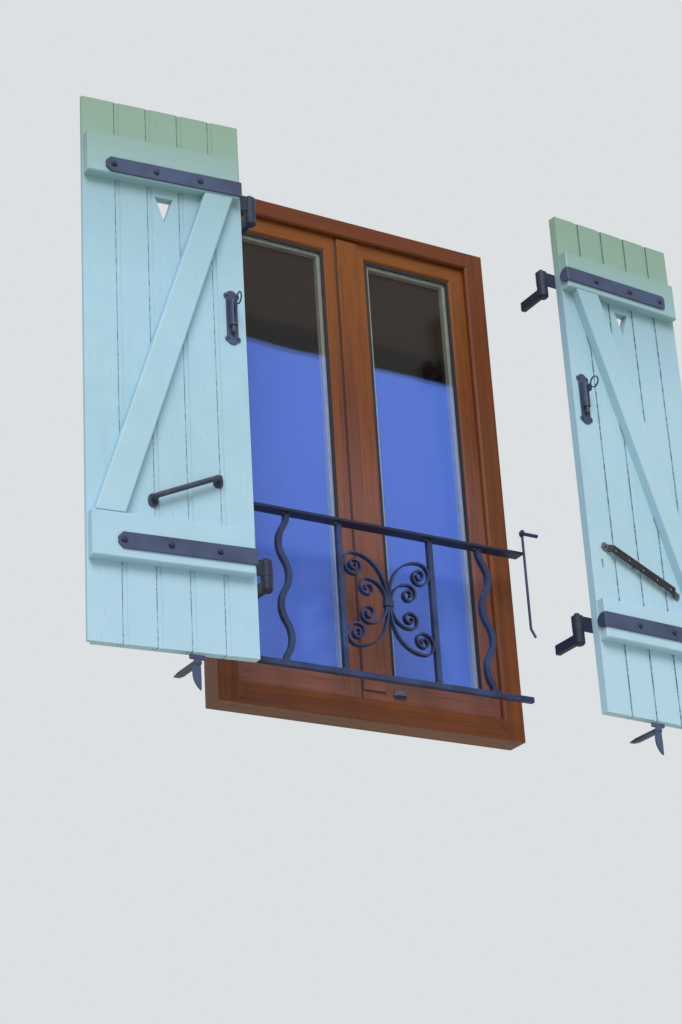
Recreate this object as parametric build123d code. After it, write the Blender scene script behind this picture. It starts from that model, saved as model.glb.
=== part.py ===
from build123d import *
import os
from math import copysign, cos, degrees, atan2, hypot, radians, sin

# A pair of ledged and braced window shutters, swung open on their pintles, with
# the casement window that they cover and its wrought guard rail. Millimetres.
# Origin: middle of the window frame's bottom face. +X right as seen from outside,
# +Y into the room, +Z up.

# Window frame and leaves
FRAME_WIDTH = 904.0
FRAME_HEIGHT = 1460.0
FRAME_DEPTH = 70.0
JAMB_FACE = 60.0
HEAD_FACE = 50.0
SILL_FACE = 60.0
FRAME_LIP = 16.0
REBATE_OVERLAP = 14.0
REBATE_GAP = 4.0
LEAF_SEAL_GAP = 0.3
LEAF_THICKNESS = 62.0
OUTER_STILE = 62.5
NARROW_MEETING_STILE = 33.0
WIDE_MEETING_STILE = 94.5
TOP_RAIL = 61.0
BOTTOM_RAIL = 74.0
MEETING_LINE = -30.5
MEETING_GAP = 4.0
MEETING_TAPER = 4.0
MOULDING = 5.0
GLASS_SETBACK = 10.0
GLASS_UNIT = 24.0
GLASS_EDGE = 12.0
GLASS_EDGE_GAP = 3.0
GASKET = 8.0
BEAD_WIDTH = 15.0
COVER_STRIP_WIDTH = 66.0
COVER_STRIP_THICKNESS = 6.0
COVER_STRIP_INSET = 1.5
COVER_STRIP_BOTTOM = 87.0
HINGE_RADIUS = 6.5
HINGE_PIN_RADIUS = 3.5
HINGE_HALF = 32.0
HINGE_BORE = 28.0
HINGE_PIN_RISE = 24.0
HINGE_FOOT_INSET = 1.0
HINGE_INSET = 180.0
HANDLE_HEIGHT = 640.0
HANDLE_LENGTH = 115.0
HANDLE_GRIP = (20.0, 12.0)
HANDLE_NECK = (9.0, 34.0)
HANDLE_ROSE = (30.0, 8.0)

# Shutter panels: s runs from the hinge edge to the closing edge, the front is
# the ledged face, and heights are from the panel's bottom
BOARD_COUNT = 5
BOARD_WIDTH = 84.0
BOARD_THICKNESS = 24.0
PANEL_HEIGHT = 1450.0
PANEL_BOTTOM = -5.0
BOARD_GAP = 1.6
BEAD_STRIP = 12.0
BEAD_SINK = 2.5
BEAD_BEVEL = 2.0
TONGUE_THICKNESS = 7.0
TONGUE_LENGTH = 7.0
GROOVE_DEPTH = 10.0
TONGUE_PLAY = 0.25
LAP_WIDTH = 13.0
LAP_GAP = 3.0
LAP_PLAY = 0.5
LEDGER_WIDTH = {"left": 114.0, "right": 108.0}
LEDGER_THICKNESS = 28.0
LEDGER_HEIGHTS = {"left": (199.0, 1221.0), "right": (193.0, 1217.0)}
LEDGER_EDGE = 3.0
LEDGER_SPAN = {"left": (12.0, 416.0), "right": (2.0, 396.0)}
BRACE_WIDTH = 76.0
BRACE_TOP_CENTRE = 68.5
BRACE_FOOT_CENTRE = 370.0
BRACE_FIT_GAP = 0.4
VENT_WIDTH = 47.0
VENT_HEIGHT = 68.5
VENT_TOP = 1196.5
VENT_CENTRE = 207.5
SLOT_CENTRE = 37.5
SLOT_HEIGHT = 413.0
SLOT_SIZE = (6.0, 24.0)

# Strap hinges and pintles
EYE_OFFSET = 40.5
PIN_DEPTH = 34.0
PIN_RADIUS = 8.0
PIN_PLAY = 0.08
PIN_RISE = 9.0
EYE_RADIUS = 15.5
SEAT_GAP = 0.3
STRAP_WIDTH = 40.0
STRAP_THICKNESS = 5.0
STRAP_REAR_REACH = 352.0
STRAP_FRONT_REACH = {"left": (354.0, 369.0), "right": (351.0, 351.0)}
STRAP_CORNER = {"left": 12.0, "right": 9.0}
STRAP_HEIGHTS = {"left": (242.0, 1246.0), "right": (241.0, 1254.0)}
STRAP_BOLTS = {
    "left": ((104.0, 225.0, 340.0), (120.6, 237.7, 348.0)),
    "right": ((113.5, 231.6, 338.0), (100.0, 222.0, 333.0)),
}
BOLT_RADIUS = 4.0
BOLT_PLAY = 0.3
BOLT_HEAD_RADIUS = 8.0
BOLT_HEAD_HEIGHT = 5.0
NUT_WIDTH = 13.0
NUT_HEIGHT = 6.0
PINTLE_RADIUS = 15.0
PINTLE_HEIGHT = 38.0
TAIL_WIDTH = 14.0
TAIL_HEIGHT = 26.0
TAIL_REACH = 95.0
OPEN_ANGLE = {"left": 5.28, "right": 3.98}
WALL_SETBACK = 240.0
PIN_STANDOFF = 24.4

# Latch: heights from the panel's bottom to the plate's, and from there upwards
LATCH_CENTRE = 36.0
LATCH_BOTTOM = 815.0
LATCH_LENGTH = 150.0
LATCH_PLATE = 3.0
LATCH_HALF_WIDTH = 15.0
LATCH_LOBE = 8.0
LATCH_SCREW_OFFSET = 12.5
LATCH_SCREW_INSET = 15.0
LATCH_SCREW = 3.2
LATCH_BORE = 6.5
LATCH_WALL = 3.0
LATCH_PLAY = 0.08
LATCH_TIP = 27.0
BARREL_START = 49.0
BARREL_CAP = 12.0
TAB_START = 88.0
TAB_HEIGHT = 22.0
TAB_THICKNESS = 3.0
TAB_REACH = 15.0
TAB_PLAY = 0.3
LATCH_TRAVEL = 32.0
RING_RADIUS = 16.5
RING_WIRE = 3.0

# Pull handle, stay bar, dogs and hook
HANDLE_ENDS = ((255.5, 369.0), (90.0, 441.0))
HANDLE_WIRE = 6.8
HANDLE_STANDOFF = 22.0
HANDLE_BEND = 11.0
HANDLE_PAD = (25.0, 34.0)
HANDLE_PAD_DROP = 21.0
HANDLE_PAD_THICKNESS = 4.0
HANDLE_SCREW = (3.6, 1.5)
HANDLE_SCREW_DROP = 13.0
STAY_ENDS = ((50.0, 461.0), (284.5, 364.5))
STAY_WIDTH = 21.0
STAY_THICKNESS = 4.0
STAY_STANDOFF = 12.0
STAY_HOLES = 5
STAY_PITCH = 49.2
STAY_HOLE_RADIUS = 3.6
STAY_FOOT_LENGTH = 22.0
STAY_SCREW = (4.5, 1.8)
DOG_CENTRE = 160.0
DOG_DROP = 28.0
DOG_THICKNESS = 5.0
DOG_FACE_GAP = 4.0
DOG_HEAD = (40.0, 11.0)
DOG_HEAD_TOP = 18.0
DOG_BOSS = 10.0
DOG_LEAF_WIDTH = 19.0
DOG_LEAF_LENGTH = 66.0
DOG_LEAF_SWEEP = 7.0
DOG_PIVOT = 4.0
DOG_SPIKE = (16.0, 9.0)
DOG_SPIKE_REACH = 60.0
HOOK_X = 421.0
HOOK_SETBACK = 111.0
HOOK_HEIGHT = 545.0
HOOK_WIRE = 3.5
HOOK_LENGTH = 272.0
HOOK_TIP = 33.0
HOOK_TIP_ANGLE = 30.0
HOOK_PIN = 3.5
HOOK_SHANK = 5.0
HOOK_SHANK_LENGTH = 45.0

# Guard rail
RAIL_SETBACK = 84.0
RAIL_HALF_WIDTH = 425.0
TOP_RAIL_BAR = (36.0, 8.0)
TOP_RAIL_TOP = 496.0
FOOT_RAIL_BAR = 15.0
FOOT_RAIL_TOP = 92.0
BAR = 14.0
BAR_X = 137.0
WAVY_X = 301.0
WAVE_DEPTH = 13.0
HALF_WAVES = 4
WAVE_FOOT = 0.43
SCROLL_THICKNESS = 5.0
SCROLL_HEIGHT = 288.0
SCROLL_GAP = 0.2
SCROLL_SWEEP = ((1.27, 25.0), (0.71, 65.0))
SCROLL_CURL = ((1.0, 180.0), (0.66, 180.0), (0.42, 180.0), (0.26, 150.0))
INNER_SWEEP = 0.42
INNER_CURL = ((0.175, 180.0), (0.112, 180.0), (0.07, 150.0))
COLLAR_HEIGHT = 16.0
COLLAR_WALL = 2.5

PANEL_WIDTH = BOARD_COUNT * BOARD_WIDTH
PIN_X = PANEL_WIDTH - (LAP_WIDTH - LAP_GAP) / 2 + EYE_OFFSET
FRONT = -FRAME_DEPTH / 2
PIN_Y = FRONT - WALL_SETBACK - PIN_STANDOFF
LEAF_FRONT = FRONT + FRAME_LIP + LEAF_SEAL_GAP
LEAF_REAR = LEAF_FRONT + LEAF_THICKNESS
RAIL_Y = FRONT - RAIL_SETBACK
LEVELS = ("bottom", "top")


def plate(outline, front, thickness):
    """A flat piece: an outline in X and Z, from the depth front towards the rear."""
    return extrude(Plane.XZ.offset(-(front + thickness)) * outline, thickness)


def bar_y(x, z, radius, front, rear):
    """A round bar along Y."""
    return plate(Pos(x, z) * Circle(radius), front, rear - front)


def block(x, y, z):
    """A box between pairs of limits."""
    size = [high - low for low, high in (x, y, z)]
    middle = [(high + low) / 2 for low, high in (x, y, z)]
    return Pos(*middle) * Box(*size)


def bent_bar(start, heading, bends, width):
    """The outline of a flat bar bent through tangent arcs, each a radius and a turn."""
    x, z = start
    angle = radians(heading)
    sides = {width / 2: [], -width / 2: []}
    for radius, turn in bends:
        hand = copysign(1, turn)
        cx = x - hand * radius * sin(angle)
        cz = z + hand * radius * cos(angle)
        for offset, edges in sides.items():
            reach = hand * radius - offset
            points = []
            for share in (0, 0.5, 1):
                a = angle + radians(turn) * share
                points.append((cx + reach * sin(a), cz - reach * cos(a)))
            edges.append(ThreePointArc(*points))
        angle += radians(turn)
        x = cx + hand * radius * sin(angle)
        z = cz - hand * radius * cos(angle)
    left, right = sides.values()
    caps = [Line(right[0] @ 0, left[0] @ 0), Line(left[-1] @ 1, right[-1] @ 1)]
    return make_face(left + right + caps)


# Shutter panel, in a frame with its origin on the pin

def on_panel(s, depth, height):
    """A point of the panel, measured from the pin."""
    return Pos(s + EYE_OFFSET, depth - PIN_DEPTH, height)


def panel_plate(outline, front, thickness):
    """A flat piece whose outline is given in s and height."""
    return plate(Pos(EYE_OFFSET, 0) * outline, front - PIN_DEPTH, thickness)


def board_section(index, side):
    """One tongued and grooved board, seen from its end."""
    low = index * BOARD_WIDTH
    high = low + BOARD_WIDTH
    last = index == BOARD_COUNT - 1
    mid = BOARD_THICKNESS / 2
    start = [(low, BOARD_THICKNESS), (low, 0)]
    if index > 0:
        half = TONGUE_THICKNESS / 2 + TONGUE_PLAY
        depth = low + GROOVE_DEPTH
        start = [(low, BOARD_THICKNESS), (low, mid + half), (depth, mid + half),
                 (depth, mid - half), (low, mid - half), (low, 0)]
    if last:
        keep = mid - LAP_PLAY / 2
        inner = high - LAP_WIDTH
        if side == "left":
            end = [(high, 0), (high, keep), (inner, keep), (inner, BOARD_THICKNESS)]
        else:
            far = BOARD_THICKNESS - keep
            end = [(inner, 0), (inner, far), (high, far), (high, BOARD_THICKNESS)]
    else:
        edge = high - BOARD_GAP
        half = TONGUE_THICKNESS / 2
        tip = edge + BOARD_GAP + TONGUE_LENGTH
        shoulder = edge - BEAD_STRIP
        end = [(shoulder, 0), (shoulder + BEAD_BEVEL, BEAD_SINK), (edge, BEAD_SINK),
               (edge, mid - half), (tip, mid - half), (tip, mid + half),
               (edge, mid + half), (edge, BOARD_THICKNESS)]
    return Pos(EYE_OFFSET, -PIN_DEPTH) * make_face(Polyline(*start, *end, close=True))


def vent_outline():
    """The pierced triangle, point down."""
    half = VENT_WIDTH / 2
    corners = [(VENT_CENTRE - half, VENT_TOP), (VENT_CENTRE, VENT_TOP - VENT_HEIGHT),
               (VENT_CENTRE + half, VENT_TOP)]
    return make_face(Polyline(*corners, close=True))


def bolt_places(side):
    """Every strap bolt as its level, s and height."""
    for level, places, height in zip(LEVELS, STRAP_BOLTS[side], STRAP_HEIGHTS[side]):
        for s in places:
            yield level, s, height


def bolt_holes(side, level=None):
    """Clearance holes right through the panel and its straps."""
    front = -LEDGER_THICKNESS - STRAP_THICKNESS
    depth = BOARD_THICKNESS + STRAP_THICKNESS - front
    radius = BOLT_RADIUS + BOLT_PLAY
    holes = [panel_plate(Pos(s, height) * Circle(radius), front, depth)
             for where, s, height in bolt_places(side) if level in (None, where)]
    return Compound(children=holes)


def boards(side):
    """The five boards, with the vent, the slot and the bolt holes cut."""
    made = {}
    for index in range(BOARD_COUNT):
        board = extrude(board_section(index, side), PANEL_HEIGHT)
        for _, s, height in bolt_places(side):
            if index * BOARD_WIDTH - BOLT_RADIUS < s < (index + 1) * BOARD_WIDTH + 2 * BOLT_RADIUS:
                hole = Pos(s, height) * Circle(BOLT_RADIUS + BOLT_PLAY)
                board -= panel_plate(hole, 0, BOARD_THICKNESS)
        if index == int(VENT_CENTRE // BOARD_WIDTH):
            board -= panel_plate(vent_outline(), 0, BOARD_THICKNESS)
        if side == "right" and index == int(SLOT_CENTRE // BOARD_WIDTH):
            slot = Pos(SLOT_CENTRE, SLOT_HEIGHT) * Rectangle(*SLOT_SIZE)
            board -= panel_plate(slot, 0, BOARD_THICKNESS)
        made[f"board_{index + 1}"] = board
    return made


def ledger(side, level):
    """A cross ledger with its front edges eased."""
    height = LEDGER_HEIGHTS[side][LEVELS.index(level)]
    width = LEDGER_WIDTH[side]
    low, high = LEDGER_SPAN[side]
    outline = Pos((low + high) / 2, height + width / 2) * Rectangle(high - low, width)
    solid = panel_plate(outline, -LEDGER_THICKNESS, LEDGER_THICKNESS)
    front = solid.faces().sort_by(Axis.Y)[0]
    solid = chamfer(front.edges(), LEDGER_EDGE)
    return solid - bolt_holes(side, level)


def brace(side):
    """The diagonal brace, cut to sit between the two ledgers."""
    half = BRACE_WIDTH / 2
    bottom, top = LEDGER_HEIGHTS[side]
    low = bottom + LEDGER_WIDTH[side] + BRACE_FIT_GAP
    high = top - BRACE_FIT_GAP
    corners = [(BRACE_FOOT_CENTRE - half, low), (BRACE_FOOT_CENTRE + half, low),
               (BRACE_TOP_CENTRE + half, high), (BRACE_TOP_CENTRE - half, high)]
    solid = panel_plate(make_face(Polyline(*corners, close=True)), -LEDGER_THICKNESS, LEDGER_THICKNESS)
    front = solid.faces().sort_by(Axis.Y)[0]
    long_edges = front.edges().sort_by(SortBy.LENGTH)[-2:]
    return chamfer(long_edges, LEDGER_EDGE)


def strap(side, level):
    """The front strap, bent round the hinge end of its ledger."""
    row = LEVELS.index(level)
    height = STRAP_HEIGHTS[side][row]
    start = LEDGER_SPAN[side][0]
    reach = STRAP_FRONT_REACH[side][row]
    face = -LEDGER_THICKNESS
    bend = STRAP_THICKNESS
    outer = start - STRAP_THICKNESS
    corners = [(outer, 0), (outer, face - STRAP_THICKNESS), (reach, face - STRAP_THICKNESS),
               (reach, face), (start, face), (start, 0)]
    section = Pos(EYE_OFFSET, -PIN_DEPTH) * make_face(Polyline(*corners, close=True))
    solid = Pos(0, 0, height - STRAP_WIDTH / 2) * extrude(section, STRAP_WIDTH)
    corner = solid.edges().filter_by(Axis.Z).group_by(Axis.Y)[0].sort_by(Axis.X)[0]
    solid = fillet(corner, bend)
    # the end on the ledger's side is half round, the far end has cut or rounded corners
    radius = STRAP_WIDTH / 2
    depth = LEDGER_THICKNESS + STRAP_THICKNESS
    wide = Pos(-depth / 2 - radius / 2, 0) * Rectangle(depth - radius, STRAP_WIDTH)
    round_end = Plane.YZ * Pos(-PIN_DEPTH, height) * (wide + Pos(-radius, 0) * Circle(radius))
    shift = start + EYE_OFFSET - STRAP_THICKNESS
    solid -= Pos(shift, 0, 0) * extrude(
        Plane.YZ * Pos(-PIN_DEPTH - radius / 2, height) * Rectangle(radius, STRAP_WIDTH), STRAP_THICKNESS
    ) - Pos(shift, 0, 0) * extrude(round_end, STRAP_THICKNESS)
    ends = solid.edges().filter_by(Axis.Y).group_by(Axis.X)[-1]
    size = STRAP_CORNER[side]
    solid = chamfer(ends, size) if side == "left" else fillet(ends, size)
    return solid - bolt_holes(side, level)


def eye_strap(side, level):
    """The rear strap with the rolled eye that turns on the pintle."""
    row = LEVELS.index(level)
    height = STRAP_HEIGHTS[side][row]
    outline = Pos(STRAP_REAR_REACH / 2, height) * Rectangle(STRAP_REAR_REACH, STRAP_WIDTH)
    flat = panel_plate(outline, BOARD_THICKNESS, STRAP_THICKNESS)
    flat = fillet(flat.edges().filter_by(Axis.Y).group_by(Axis.X)[-1], STRAP_CORNER["right"])
    middle = BOARD_THICKNESS + STRAP_THICKNESS / 2 - PIN_DEPTH
    neck = block((0, EYE_OFFSET), (middle - STRAP_THICKNESS / 2, middle + STRAP_THICKNESS / 2),
                 (height - STRAP_WIDTH / 2, height + STRAP_WIDTH / 2))
    barrel = Pos(0, 0, height) * Cylinder(EYE_RADIUS, STRAP_WIDTH)
    bore = Pos(0, 0, height) * Cylinder(PIN_RADIUS + PIN_PLAY, STRAP_WIDTH)
    return flat + neck + barrel - bore - bolt_holes(side, level)


def bolt_solid(s, height):
    """A domed bolt through strap, ledger, board and rear strap, with its nut."""
    face = -LEDGER_THICKNESS - STRAP_THICKNESS
    back = BOARD_THICKNESS + STRAP_THICKNESS
    end = back + NUT_HEIGHT + BOLT_RADIUS / 2
    crown = BOLT_HEAD_RADIUS * 0.5
    shoulder = (BOLT_HEAD_RADIUS * 0.85, BOLT_HEAD_HEIGHT * 0.55)
    profile = Polyline((0, BOLT_HEAD_HEIGHT), (crown, BOLT_HEAD_HEIGHT * 0.9), shoulder,
                       (BOLT_HEAD_RADIUS, 0), (BOLT_RADIUS, 0), (BOLT_RADIUS, face - end),
                       (0, face - end), close=True)
    turned = revolve(Plane.XZ * make_face(profile), Axis.Z)
    nut_low = face - back - NUT_HEIGHT
    nut = Pos(0, 0, nut_low) * extrude(RegularPolygon(NUT_WIDTH / 2, 6, major_radius=False), NUT_HEIGHT)
    return on_panel(s, face, height) * Rot(90, 0, 0) * (turned + nut)


def screw_solid(s, depth, height, radius, rise):
    """A low screw head on the face of a fitting."""
    head = Cone(radius, radius * 0.6, rise, align=(Align.CENTER, Align.CENTER, Align.MIN))
    return on_panel(s, depth, height) * Rot(90, 0, 0) * head


def latch_section():
    """The barrel seen from its end: a half round on two straight sides."""
    radius = LATCH_BORE + LATCH_WALL
    axis_depth = -LATCH_PLATE - LATCH_BORE
    sides = Pos(0, axis_depth / 2) * Rectangle(2 * radius, -axis_depth)
    return Pos(LATCH_CENTRE + EYE_OFFSET, -PIN_DEPTH) * (sides + Pos(0, axis_depth) * Circle(radius))


def latch_case():
    """The lobed plate and the bored barrel on it, slotted in front for the ring's tab."""
    middle = LATCH_BOTTOM + LATCH_LENGTH / 2
    outline = Pos(LATCH_CENTRE, middle) * SlotOverall(LATCH_LENGTH, 2 * LATCH_HALF_WIDTH, rotation=90)
    for end in (LATCH_SCREW_INSET, LATCH_LENGTH - LATCH_SCREW_INSET):
        for hand in (-1, 1):
            outline += Pos(LATCH_CENTRE + hand * LATCH_SCREW_OFFSET, LATCH_BOTTOM + end) * Circle(LATCH_LOBE)
    base = panel_plate(outline, -LATCH_PLATE, LATCH_PLATE)
    low = LATCH_BOTTOM + BARREL_START
    high = LATCH_BOTTOM + TAB_START + TAB_HEIGHT + BARREL_CAP
    barrel = Pos(0, 0, low) * extrude(latch_section(), high - low)
    barrel = chamfer(barrel.faces().sort_by(Axis.Z)[-1].edges().sort_by(Axis.Y)[0], LATCH_WALL)
    start = Align.CENTER, Align.CENTER, Align.MIN
    bore = Cylinder(LATCH_BORE, high - low - LATCH_WALL, align=start)
    barrel -= on_panel(LATCH_CENTRE, -LATCH_PLATE - LATCH_BORE, low) * bore
    centre = LATCH_CENTRE + EYE_OFFSET
    half = TAB_THICKNESS / 2 + TAB_PLAY
    slot_low = LATCH_BOTTOM + TAB_START - LATCH_TRAVEL - TAB_PLAY
    slot_high = LATCH_BOTTOM + TAB_START + TAB_HEIGHT + TAB_PLAY
    front = -LATCH_PLATE - 2 * LATCH_BORE - 2 * LATCH_WALL - PIN_DEPTH
    barrel -= block((centre - half, centre + half), (front, front + LATCH_BORE + 2 * LATCH_WALL),
                    (max(slot_low, low - 1), slot_high))
    return base + barrel


def latch_bolt():
    """The sliding bolt, with the pull ring that stands out from it on a flat tab."""
    low = LATCH_BOTTOM + LATCH_TIP
    tab_low = LATCH_BOTTOM + TAB_START
    tab_high = tab_low + TAB_HEIGHT
    radius = LATCH_BORE - LATCH_PLAY
    rod = Cylinder(radius, tab_high - low, align=(Align.CENTER, Align.CENTER, Align.MIN))
    rod = chamfer(rod.faces().sort_by(Axis.Z)[0].edges(), radius / 2)
    axis_depth = -LATCH_PLATE - LATCH_BORE
    solid = on_panel(LATCH_CENTRE, axis_depth, low) * rod
    centre = LATCH_CENTRE + EYE_OFFSET
    half = TAB_THICKNESS / 2
    reach = axis_depth - LATCH_BORE - LATCH_WALL - TAB_REACH
    solid += block((centre - half, centre + half), (reach - PIN_DEPTH, axis_depth - PIN_DEPTH),
                   (tab_low, tab_high))
    ring_plane = Plane.YZ.offset(centre - RING_WIRE / 2)
    ring = Circle(RING_RADIUS) - Circle(RING_RADIUS - RING_WIRE)
    ring_depth = reach - RING_RADIUS + RING_WIRE - PIN_DEPTH
    return solid + extrude(ring_plane * Pos(ring_depth, tab_high - RING_WIRE) * ring, RING_WIRE)


def pull_handle():
    """A round bar with both ends turned in and flattened to leaf pads."""
    (s0, h0), (s1, h1) = HANDLE_ENDS
    length = hypot(s1 - s0, h1 - h0)
    lift = HANDLE_STANDOFF
    seat = HANDLE_PAD_THICKNESS / 2
    path = FilletPolyline((0, -seat), (0, -lift), (length, -lift), (length, -seat), radius=HANDLE_BEND)
    line = Plane.XY * path
    start = Plane(origin=line @ 0, z_dir=line % 0)
    rod = sweep(start * Circle(HANDLE_WIRE), path=line)
    turn = degrees(atan2(h1 - h0, s1 - s0))
    rod = Rot(0, -turn, 0) * rod
    solid = on_panel(s0, 0, h0) * rod
    width, length = HANDLE_PAD
    for s, height in HANDLE_ENDS:
        leaf = Pos(s, height - HANDLE_PAD_DROP + length / 2) * SlotOverall(length, width, rotation=90)
        solid += panel_plate(leaf, -HANDLE_PAD_THICKNESS, HANDLE_PAD_THICKNESS)
    return solid


def handle_screws():
    """One screw in the lower half of each leaf pad."""
    front = -HANDLE_PAD_THICKNESS
    return [screw_solid(s, front, h - HANDLE_SCREW_DROP, *HANDLE_SCREW) for s, h in HANDLE_ENDS]


def stay_bar():
    """The pierced bar on its feet: the hook's tip drops in a hole."""
    (s0, h0), (s1, h1) = STAY_ENDS
    length = hypot(s1 - s0, h1 - h0)
    pad = STAY_WIDTH / 2
    lift = STAY_STANDOFF
    thick = STAY_THICKNESS
    foot = STAY_FOOT_LENGTH - pad
    rise = lift
    corners = [(-pad, 0), (foot - rise / 2, 0), (foot + rise / 2, -lift), (length - foot - rise / 2, -lift),
               (length - foot + rise / 2, 0), (length + pad, 0), (length + pad, -thick),
               (length - foot + rise / 2, -thick), (length - foot - rise / 2, -lift - thick),
               (foot + rise / 2, -lift - thick), (foot - rise / 2, -thick), (-pad, -thick)]
    section = make_face(Polyline(*corners, close=True))
    solid = Pos(0, 0, -STAY_WIDTH / 2) * extrude(section, STAY_WIDTH)
    ends = solid.edges().filter_by(Axis.Y)
    rounds = ends.group_by(Axis.X)[0] + ends.group_by(Axis.X)[-1]
    solid = fillet(rounds, pad * 0.6)
    first = (length - STAY_PITCH * (STAY_HOLES - 1)) / 2
    for index in range(STAY_HOLES):
        solid -= bar_y(first + index * STAY_PITCH, 0, STAY_HOLE_RADIUS, -lift - thick, -lift)
    stud = first + STAY_PITCH * 1.5
    solid += bar_y(stud, 0, STAY_THICKNESS, -lift, 0)
    turn = degrees(atan2(h1 - h0, s1 - s0))
    return on_panel(s0, 0, h0) * Rot(0, -turn, 0) * solid


def stay_screws():
    """One screw in each end tab."""
    return [screw_solid(s, -STAY_THICKNESS, h, *STAY_SCREW) for s, h in STAY_ENDS]


def latch_screws():
    """Four screws through the lobes of the latch plate."""
    heads = []
    for end in (LATCH_SCREW_INSET, LATCH_LENGTH - LATCH_SCREW_INSET):
        for hand in (-1, 1):
            s = LATCH_CENTRE + hand * LATCH_SCREW_OFFSET
            heads.append(screw_solid(s, -LATCH_PLATE, LATCH_BOTTOM + end, LATCH_SCREW, LATCH_SCREW * 0.4))
    return heads


def fixings(side):
    """All bolts and screws of one shutter."""
    bolts = [bolt_solid(s, height) for _, s, height in bolt_places(side)]
    screws = latch_screws()
    screws += handle_screws() if side == "left" else stay_screws()
    return bolts + screws


def shutter(side):
    """Every piece of one shutter, still in the pin's frame."""
    made = boards(side)
    for level in LEVELS:
        made[f"ledger_{level}"] = ledger(side, level)
        made[f"strap_{level}"] = strap(side, level)
        made[f"eye_strap_{level}"] = eye_strap(side, level)
    made["brace"] = brace(side)
    made["fixings"] = Compound(children=fixings(side))
    made["latch_case"] = latch_case()
    made["latch_bolt"] = latch_bolt()
    if side == "left":
        made["pull_handle"] = pull_handle()
    else:
        made["stay_bar"] = stay_bar()
    return made


def place(solid, side):
    """Hang a piece on the side's pin, at the angle it stands open."""
    angle = OPEN_ANGLE[side]
    if side == "right":
        return Pos(PIN_X, PIN_Y, PANEL_BOTTOM) * Rot(0, 0, angle) * solid
    mirrored = mirror(solid, about=Plane.YZ)
    return Pos(-PIN_X, PIN_Y, PANEL_BOTTOM) * Rot(0, 0, -angle) * mirrored


# Ironwork in the wall

def pintle(side, level):
    """The upright pin on its round body, with the tail that is built in."""
    top = STRAP_HEIGHTS[side][LEVELS.index(level)] - STRAP_WIDTH / 2 - SEAT_GAP
    rise = SEAT_GAP + STRAP_WIDTH + PIN_RISE
    start = Align.CENTER, Align.CENTER, Align.MIN
    body = Pos(0, 0, top - PINTLE_HEIGHT) * Cylinder(PINTLE_RADIUS, PINTLE_HEIGHT, align=start)
    body = chamfer(body.faces().sort_by(Axis.Z)[0].edges(), PINTLE_RADIUS / 3)
    pin = Pos(0, 0, top) * Cylinder(PIN_RADIUS, rise, align=start)
    pin = chamfer(pin.faces().sort_by(Axis.Z)[-1].edges(), PIN_RADIUS / 3)
    middle = top - PINTLE_HEIGHT / 2
    half = TAIL_WIDTH / 2
    tail = block((-half, half), (0, TAIL_REACH), (middle - TAIL_HEIGHT / 2, middle + TAIL_HEIGHT / 2))
    hand = 1 if side == "right" else -1
    return Pos(hand * PIN_X, PIN_Y, PANEL_BOTTOM) * (body + pin + tail)


def dog_place(side):
    """Where a dog's pivot crosses the plane of the panel's front face."""
    angle = radians(OPEN_ANGLE[side])
    reach = DOG_CENTRE + EYE_OFFSET
    x = PIN_X + reach * cos(angle) + PIN_DEPTH * sin(angle)
    y = PIN_Y + reach * sin(angle) - PIN_DEPTH * cos(angle)
    return (x if side == "right" else -x), y, PANEL_BOTTOM - DOG_DROP


def dog(side):
    """The swivelling catch: a broad head, a boss and a curved leaf that hangs."""
    x, y, z = dog_place(side)
    head_width, head_height = DOG_HEAD
    head = Pos(0, DOG_HEAD_TOP - head_height / 2) * RectangleRounded(head_width, head_height, 2.5)
    neck = Pos(0, DOG_HEAD_TOP / 2) * Rectangle(DOG_BOSS * 1.3, DOG_HEAD_TOP - 2)
    half = DOG_LEAF_WIDTH / 2
    tip = (DOG_LEAF_SWEEP, -DOG_LEAF_LENGTH)
    leaf_edges = [
        ThreePointArc((-half * 0.7, -2), (-half - DOG_LEAF_SWEEP / 2, -DOG_LEAF_LENGTH * 0.45), tip),
        ThreePointArc(tip, (half * 0.8, -DOG_LEAF_LENGTH * 0.45), (half * 0.7, -2)),
        Line((half * 0.7, -2), (-half * 0.7, -2)),
    ]
    outline = head + neck + Circle(DOG_BOSS) + make_face(leaf_edges)
    outline -= Circle(DOG_PIVOT + PIN_PLAY)
    solid = plate(outline, -DOG_FACE_GAP - DOG_THICKNESS, DOG_THICKNESS)
    return Pos(x, y, z) * solid


def dog_spike(side):
    """The flat spike that is driven in the wall, with the dog's rivet."""
    x, y, z = dog_place(side)
    width, height = DOG_SPIKE
    wall = FRONT - WALL_SETBACK - y
    front = -DOG_FACE_GAP + SEAT_GAP
    bar = block((-width / 2, width / 2), (front, wall + DOG_SPIKE_REACH), (-height / 2, height / 2))
    point = bar.faces().sort_by(Axis.Y)[-1].edges().filter_by(Axis.X)
    bar = chamfer(point, height / 2 - 1, height * 2.5)
    shank = bar_y(0, 0, DOG_PIVOT, -DOG_FACE_GAP - DOG_THICKNESS - SEAT_GAP, front)
    head = Rot(90, 0, 0) * Cone(DOG_PIVOT * 1.8, DOG_PIVOT, 3, align=(Align.CENTER, Align.CENTER, Align.MIN))
    head = Pos(0, -DOG_FACE_GAP - DOG_THICKNESS - SEAT_GAP, 0) * head
    return Pos(x, y, z) * (bar + shank + head)


def hook_place():
    """The hook's pivot on the right jamb."""
    return Pos(HOOK_X, FRONT - HOOK_SETBACK, HOOK_HEIGHT)


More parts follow.
